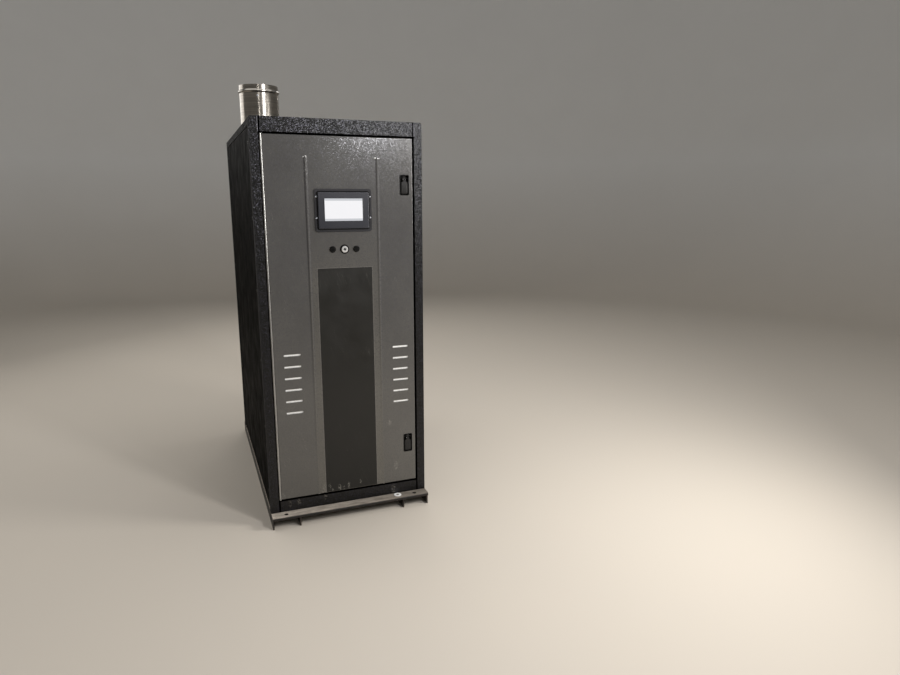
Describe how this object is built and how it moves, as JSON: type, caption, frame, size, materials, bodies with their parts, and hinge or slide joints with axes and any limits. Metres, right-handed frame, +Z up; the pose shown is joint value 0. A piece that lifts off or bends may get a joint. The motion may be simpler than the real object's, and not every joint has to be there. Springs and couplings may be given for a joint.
{
  "type": "industrial boiler",
  "caption": "Upright cabinet boiler on channel feet, with a hinged front door, operator panel, air slots, paddle latches, rear water flanges and a roof flue outlet.",
  "frame": {"origin": "on the floor under the middle of the base, which is also the middle of the cabinet", "axes": "+X to the right seen from the front, +Y to the back, +Z up; the door faces -Y"},
  "size_m": [0.7, 1.37, 1.972],
  "materials": {
    "base_steel": "dark painted steel, dusty on top",
    "frame_black": "black hammertone powder coat",
    "side_black": "plain black powder coat",
    "door_grey": "dark grey fine-textured powder coat",
    "stripe_black": "satin black sheet, scuffed",
    "hinge_steel": "bare bright steel",
    "galvanised": "galvanised sheet",
    "rim_black": "satin black",
    "bezel_black": "smooth dark plastic",
    "screen": "lit display",
    "switch_black": "black plastic",
    "switch_chrome": "polished",
    "latch_black": "black moulded plastic",
    "jacket": "pale jacket over insulation",
    "stainless": "stainless flue pipe",
    "cast_grey": "grey casting",
    "aluminium": "cast aluminium",
    "pipe_black": "black steel pipe",
    "zinc": "zinc die casting",
    "box_grey": "grey enclosure",
    "pvc_grey": "grey plastic pipe"
  },
  "bodies": {
    "cabinet": {"base_foot_left": "base_steel", "base_foot_right": "base_steel", "base_cross_front": "base_steel", "base_cross_rear": "base_steel", "floor_pan": "galvanised", "front_post_left": "frame_black", "front_post_right": "frame_black", "rear_post_left": "frame_black", "rear_post_right": "frame_black", "top_band": "frame_black", "bottom_band": "frame_black", "side_panel_left": "side_black", "side_panel_right": "side_black", "rear_panel": "side_black", "roof_panel": "frame_black", "hinge_frame_leaf": "hinge_steel", "hinge_pin": "hinge_steel", "vessel_jacket": "jacket", "vessel_stand": "base_steel", "flue_box": "stainless", "flue_riser": "stainless", "flue_collar": "stainless", "burner_plate": "cast_grey", "burner_blower": "aluminium", "gas_train": "pipe_black", "gas_inlet": "pipe_black", "conduit_hub": "zinc", "control_box": "box_grey", "water_supply": "pipe_black", "water_return": "pipe_black", "condensate_drain": "pvc_grey"},
    "door": {"front_door": "door_grey", "hinge_door_leaf": "hinge_steel", "slot_baffles": "galvanised", "operator_rim": "rim_black", "operator_panel": "bezel_black", "display_screen": "screen", "blank_buttons": "switch_black", "switch_collar": "switch_black", "key_switch": "switch_chrome", "door_stripe": "stripe_black", "latch_cups": "latch_black"},
    "upper_paddle": {"upper_latch_paddle": "latch_black"},
    "lower_paddle": {"lower_latch_paddle": "latch_black"}
  },
  "joints": [
    {"name": "door_hinge", "type": "hinge", "parent": "cabinet", "child": "door", "pos_m": [-0.3077, -0.634, 0.87], "axis": [0, 0, -1], "range_deg": [0, 110]},
    {"name": "upper_latch_lift", "type": "hinge", "parent": "door", "child": "upper_paddle", "pos_m": [0.271, -0.629, 1.469], "axis": [-1, 0, 0], "range_deg": [0, 35]},
    {"name": "lower_latch_lift", "type": "hinge", "parent": "door", "child": "lower_paddle", "pos_m": [0.271, -0.629, 0.323], "axis": [-1, 0, 0], "range_deg": [0, 35]}
  ]
}
